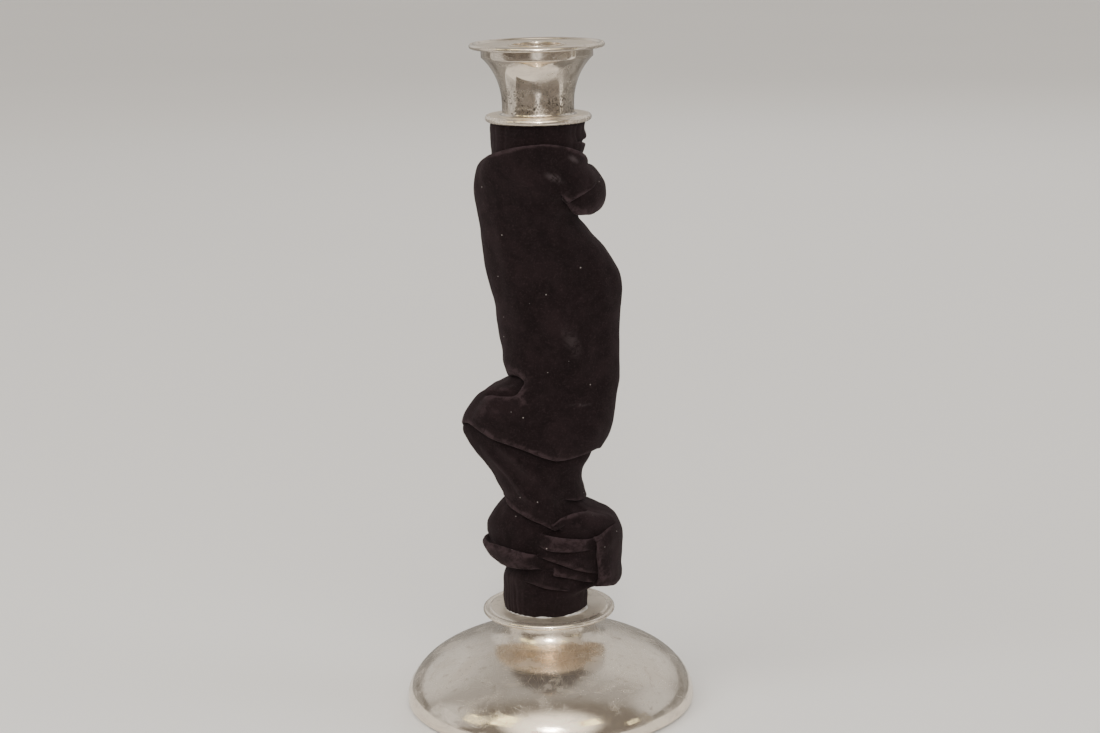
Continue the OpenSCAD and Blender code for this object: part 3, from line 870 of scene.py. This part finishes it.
def velvet():
    """Black velvet: dark, with lighter patches of painted sheen where the pile lies the other way, crests
    painted lighter for pile wear and painted sheen, and specks of lint.
    """
    m = new_look("black_velvet")
    pile = m.noise(1100, 4, 0.7, 0.4)
    mottle = m.noise(240, 4, 0.7, 0.8)
    patch = m.noise(62, 5, 0.62, 0.9)
    # painted sheen: broad lighter patches from a noise and from the placed spots, where the pile lies the
    # other way
    nap_sheen = m.math("MULTIPLY", m.ramp(patch, 0.38, 0.70), 0.8)
    for at, size, turn in NAP_SHEEN:
        nap_sheen = m.math("ADD", nap_sheen, m.ramp(m.spot(at, size, turn), 0.0, 0.8, 0, 0.55))
    colour = m.mix(nap_sheen, VELVET_DARK, VELVET_NAP_SHEEN)
    colour = m.mix(m.ramp(mottle, 0.42, 0.72, 0, 0.6), colour, VELVET_MOTTLE)
    colour = m.mix(m.ramp(pile, 0.48, 0.78, 0, 0.75), colour, VELVET_PILE)
    crested = m.ramp(m.add("Attribute", "Fac", {}, attribute_name="crest"), 0.25, 1.0)
    # painted sheen along the fold crests, mixed with pile wear: the crests are painted lighter
    crest_wear_and_sheen = m.math("MULTIPLY", crested, m.ramp(mottle, 0.34, 0.62, 0.1, 1))
    colour = m.mix(crest_wear_and_sheen, colour, VELVET_CREST_WEAR_SHEEN)
    uneven = m.ramp(mottle, 0.36, 0.62, 0.05, 1)
    for at, size, turn in CRUSHED:
        streak = m.math("MULTIPLY", m.ramp(m.spot(at, size, turn), 0.0, 0.9), uneven)
        colour = m.mix(streak, colour, VELVET_CRUSHED)
    lint = m.ramp(m.cells(150), 0.052, 0.034)
    lint = m.math("MULTIPLY", lint, m.ramp(m.noise(23, 1, 0.5), 0.44, 0.50))
    colour = m.mix(lint, colour, LINT)
    m.bump(pile, 0.40, 0.35)
    m.bump(mottle, 0.25, 0.30)
    m.bump(m.noise(2600, 2, 0.7), 0.3, 0.12)
    return m.set(
        Base_Color=colour, Roughness=0.95, Specular_IOR_Level=0.08,
        Sheen_Weight=0.05, Sheen_Roughness=0.70, Sheen_Tint=(0.82, 0.62, 0.67, 1),
    )


dress(sleeve, "stand", velvet(), "velvet_sleeve")

# -------- glue round the sleeve's foot

# Where the glue shows beyond the cloth, each (angle, spread, width) in degrees and millimetres
GLUE_SEEN = [
    (262, 7, 0.75), (300, 6, 0.5), (318, 16, 1.15), (338, 12, 1.0),
    (30, 20, 0.9), (118, 14, 0.8), (166, 9, 0.7),
]
GLUE_MAX = 1.3
GLUE_UNEVEN = 0.28
GLUE_INSET = 0.7  # how far inside the sleeve's foot the middle of the bead lies
GLUE_HALF_W = 0.6
GLUE_H = 0.25  # height of the bead, and how much it gains for each millimetre of width
GLUE_SWELL = 0.55
GLUE_COLS = 360
GLUE_POINTS = 14  # points round the bead


def glue_bead():
    """The thin run of set glue where the sleeve meets the collar. It shows here and there, and lies
    hidden under the cloth elsewhere."""
    heights, sides = reach_tables()
    angle = np.linspace(0, 360, GLUE_COLS, endpoint=False)
    width = np.zeros(GLUE_COLS)
    for at, spread, wide in GLUE_SEEN:
        away = (angle - at + 180) % 360 - 180
        width += wide * np.exp(-((away / spread) ** 2))
    width += GLUE_UNEVEN * np.array([noise.noise(Vector((a / 5, 3.3, 0))) for a in angle])
    width = np.clip(width, 0.0, GLUE_MAX)
    foot = sleeve_surface(angle, np.full(GLUE_COLS, SLEEVE_LOW + 0.6), heights, sides)
    outward = foot[:, :2] / np.linalg.norm(foot[:, :2], axis=1)[:, None]
    turn = np.linspace(0, 2 * np.pi, GLUE_POINTS, endpoint=False)[:, None]
    out = (GLUE_HALF_W + width) * np.cos(turn) - GLUE_INSET
    up = np.maximum(np.sin(turn), -0.02) * (GLUE_H + GLUE_SWELL * width) + COLLAR_TOP + 0.03
    x, y = (foot[:, i] + outward[:, i] * out for i in (0, 1))
    return grid_mesh("glue_bead", np.stack([x, y, up], axis=-1) * MM, closed_rows=True)


def set_glue():
    m = new_look("set_glue_bead")
    cloudy = m.noise(420, 4, 0.6, 0.5)
    grime = m.ramp(m.noise(130, 3, 0.6), 0.45, 0.65)
    m.bump(cloudy, 0.5, 0.25)
    return m.set(
        Base_Color=m.mix(grime, (0.50, 0.49, 0.47), (0.30, 0.27, 0.24)),
        Roughness=m.ramp(cloudy, 0.3, 0.7, 0.25, 0.5),
        Specular_IOR_Level=0.45,
    )


glue = glue_bead()
glue.data.set_sharp_from_angle(angle=math.radians(60))
dress(glue, "stand", set_glue(), "sleeve_glue")

# -------- plain materials of the inner pieces


def plain(name, dark, light, scale, rough, metal=0.0, grain=(1, 1, 1), bump=0.2):
    """A mottled material: dark to light over a noise of that scale, stretched by grain."""
    m = new_look(name)
    pattern = m.noise(scale, 5, 0.6, 0.3, m.mapped(grain))
    m.bump(pattern, bump, 0.2)
    return m.set(
        Base_Color=m.mix(m.ramp(pattern, 0.3, 0.7), dark, light),
        Roughness=m.ramp(pattern, 0.3, 0.7, rough, rough * 0.8),
        Metallic=metal,
    )


INNER = {
    "steel": plain("zinc_plated_steel", (0.5, 0.5, 0.5), (0.66, 0.66, 0.66), 300, 0.35, 1.0),
    "cast_iron": plain("raw_cast_iron", (0.09, 0.09, 0.09), (0.16, 0.155, 0.15), 500, 0.8, 0.6, bump=0.6),
    "wood": plain("turned_beech", (0.45, 0.28, 0.15), (0.62, 0.42, 0.25), 160, 0.7, grain=(1, 1, 0.08)),
    "card": plain("grey_board", (0.25, 0.21, 0.16), (0.34, 0.29, 0.23), 400, 0.95),
    "felt": plain("green_felt", (0.012, 0.035, 0.02), (0.03, 0.07, 0.045), 900, 1.0, bump=0.7),
    "glue": plain("set_glue", (0.5, 0.5, 0.46), (0.7, 0.7, 0.66), 350, 0.45),
}
for part in frame["record"]["subparts"]:
    finish = INNER.get(part["material_slot"])
    if finish:
        cad_piece = frame["nodes"][part["node"]]
        cad_piece.data.materials.clear()
        cad_piece.data.materials.append(finish)

# -------- floor, light and camera

FLOOR_R = 24.0
FLOOR_SIDES = 64
turns = [2 * math.pi * i / FLOOR_SIDES for i in range(FLOOR_SIDES)]
floor_rim = [(FLOOR_R * math.cos(a), FLOOR_R * math.sin(a), 0) for a in turns]
floor_mesh = bpy.data.meshes.new("pale_floor")
floor_mesh.from_pydata(floor_rim, [], [list(range(FLOOR_SIDES))])
floor = new_object("pale_floor", floor_mesh)
floor_look = new_look("pale_floor_paint")
floor_look.set(
    Base_Color=floor_look.mix(floor_look.noise(1.3, 2), (0.76, 0.745, 0.725), (0.80, 0.785, 0.765)),
    Roughness=0.9, Specular_IOR_Level=0.2,
    Emission_Color=(1, 0.98, 0.96, 1), Emission_Strength=0.09,
)
floor_mesh.materials.append(floor_look.owner)


MIDDLE = Vector((0, 0, 0.15))  # the point that the lights face, in metres


def softbox(name, at, size, power, colour=(1, 1, 1), shines=False):
    """A rectangular area light at a place in metres. The silver mirrors only a light that shines."""
    light = bpy.data.lights.new(name, "AREA")
    light.shape = "RECTANGLE"
    light.size, light.size_y = size
    light.energy = power
    light.color = colour
    lamp = new_object(name, light)
    lamp.location = at
    lamp.rotation_euler = (MIDDLE - Vector(at)).to_track_quat("-Z", "Y").to_euler()
    lamp.visible_camera = False
    lamp.visible_glossy = shines


softbox("key_left", (-1.6, -1.0, 1.7), (1.3, 1.3), 29, (1, 0.98, 0.95))
softbox("fill_right", (1.9, -0.4, 1.0), (0.8, 1.4), 12)
softbox("back_fill", (0.5, 1.9, 1.5), (1.2, 1.2), 9)
softbox("front_lamp", (0.0, -0.98, 0.60), (0.12, 0.08), 3.6, (1, 0.97, 0.92), shines=True)

# What the silver reflects near the floor, cards as a photographer puts round silver. Each is (from,
# to, foot, head, colour): from and to in degrees from the front, anticlockwise seen from above, and
# foot and head its lower and upper edge as (distance from the object, height) in metres.
CARDS = {
    "dark_room": (-74, 74, (1.6, 0), (1.6, 0.24), (0.22, 0.19, 0.165)),
    "dark_floor": (-74, 74, (0.25, 0.002), (1.6, 0.002), (0.25, 0.22, 0.195)),
    "lit_room": (-16, 16, (1.58, 0), (1.58, 0.24), (1.5, 1.46, 1.42)),
    "lit_floor": (-16, 16, (0.50, 0.004), (1.58, 0.004), (1.8, 1.76, 1.72)),
    "white_board": (-108, -76, (1.6, 0), (1.6, 0.75), (0.95, 0.92, 0.88)),
    "white_sill": (-108, -76, (0.32, 0.002), (1.6, 0.002), (0.80, 0.775, 0.74)),
    "narrow_board": (77, 84, (1.6, 0), (1.6, 0.75), (0.55, 0.50, 0.42)),
    "flash": (-8, 8, (1.58, 0.82), (1.58, 1.12), (24, 23.2, 22)),
    "streak": (-13, 13, (1.57, 0.24), (1.57, 0.80), (4.2, 3.9, 3.4)),
    "grey_side": (86, 250, (1.6, 0), (1.6, 0.30), (0.34, 0.325, 0.305)),
    "grey_floor": (86, 250, (0.10, 0.002), (1.6, 0.002), (0.34, 0.325, 0.305)),
    "window_1": (-76, -60, (1.6, 0.70), (1.6, 1.25), (3.4, 3, 1.7)),
    "window_2": (-54, -34, (1.6, 1.00), (1.6, 2.20), (3.8, 3.4, 2)),
    "window_3": (26, 44, (1.6, 1.05), (1.6, 1.65), (3.4, 3, 1.8)),
    "window_4": (62, 72, (1.6, 0.34), (1.6, 0.60), (2.6, 2.3, 1.4)),
}
FADING = ("lit_room", "lit_floor", "streak")  # cards that fade to the dim room at their sides
DIM = CARDS["dark_room"][-1]


def reflection_card(name, start, end, foot, head, colour):
    """A curved card that only reflections see, brighter in some places than in others."""
    angles = np.radians(np.linspace(start, end, 24) - 90)
    points = [(r * math.cos(a), r * math.sin(a), z) for r, z in (foot, head) for a in angles]
    count = len(angles)
    mesh = bpy.data.meshes.new(name)
    mesh.from_pydata(points, [], [(i, i + 1, count + i + 1, count + i) for i in range(count - 1)])
    look = new_look(name + "_paint")
    shaded = tuple(0.55 * c for c in colour)
    paint = look.mix(look.ramp(look.noise(3.5, 3), 0.35, 0.6), shaded, colour)
    if name in FADING:
        aside = look.math("ABSOLUTE", look.along("X"))
        paint = look.mix(look.ramp(aside, 0.0, foot[0] * math.sin(math.radians(end))), paint, DIM)
    look.set(Base_Color=(0, 0, 0, 1), Roughness=1.0, Emission_Strength=1.0, Emission_Color=paint)
    mesh.materials.append(look.owner)
    card = new_object(name, mesh)
    for kind in ("camera", "diffuse", "shadow", "transmission"):
        setattr(card, "visible_" + kind, False)


for card_name, card_shape in CARDS.items():
    reflection_card(card_name, *card_shape)

# The studio above the cards. Each patch of light is (direction, edge, full, strength, colour), where
# edge and full are the cosines at which it starts and is whole.
PATCHES = [
    ((0, -1, 0.72), 0.74, 0.97, 2.2, (1, 0.93, 0.82)),
    ((-1, -0.10, 0.40), 0.90, 0.98, 0.35, (1, 0.98, 0.96)),
    ((0.90, 0.25, 0.45), 0.90, 0.98, 0.30, (0.97, 0.98, 1)),
    ((-0.60, 0.78, 0.40), 0.86, 0.98, 0.40, (1, 1, 1)),
    ((0.40, 0.80, 0.60), 0.86, 0.98, 0.40, (1, 0.99, 0.97)),
]
BEHIND = ((0.0, 1.0, -0.25), -0.42, -0.05)  # the part of the sky that is studio, likewise
ROOM_COLOUR = (0.155, 0.132, 0.110)
STUDIO_COLOUR = (0.44, 0.425, 0.405)
BACKDROP_COLOUR = (0.80, 0.785, 0.765)


def studio_world():
    """A dim room in front and a pale studio behind, with patches of light. Only reflections and light
    see it: the camera sees a plain pale backdrop."""
    sky = Nodes(bpy.data.worlds.new("studio"), "Background", "Generated")

    def toward(direction, edge, full, strength=1.0):
        ways = {0: sky.place, 1: Vector(direction).normalized()}
        dot = sky.add("VectorMath", "Value", ways, operation="DOT_PRODUCT")
        return sky.ramp(dot, edge, full, 0.0, strength)

    colour = sky.mix(toward(*BEHIND), ROOM_COLOUR, STUDIO_COLOUR)
    for direction, edge, full, strength, tint in PATCHES:
        glow = sky.mix(toward(direction, edge, full, strength), (0, 0, 0), tint, clamp=False)
        colour = sky.mix(1.0, colour, glow, "ADD")
    seen = sky.add("LightPath", "Is Camera Ray", {})
    colour = sky.mix(seen, colour, BACKDROP_COLOUR)
    bpy.context.scene.world = sky.set(Color=colour, Strength=1.0)


studio_world()

# The camera stands in front, a little above the drip pan, tilted down and rolled slightly
CAMERA_AT = (2.85, -977.1, PAN_TOP + 78.8)
CAMERA_FALL = 12.972
CAMERA_ROLL = -1.2094
SENSOR_W = 36
LENS = 72.27
NEAREST_SEEN = 50
camera_data = bpy.data.cameras.new("camera")
camera_data.sensor_width = SENSOR_W
camera_data.lens = LENS
camera_data.clip_start = NEAREST_SEEN * MM
camera = new_object("camera", camera_data)
tilt = Matrix.Rotation(math.radians(90 - CAMERA_FALL), 4, "X")
roll = Matrix.Rotation(math.radians(CAMERA_ROLL), 4, "Z")
camera.matrix_world = Matrix.Translation(Vector(CAMERA_AT) * MM) @ tilt @ roll
bpy.context.scene.camera = camera
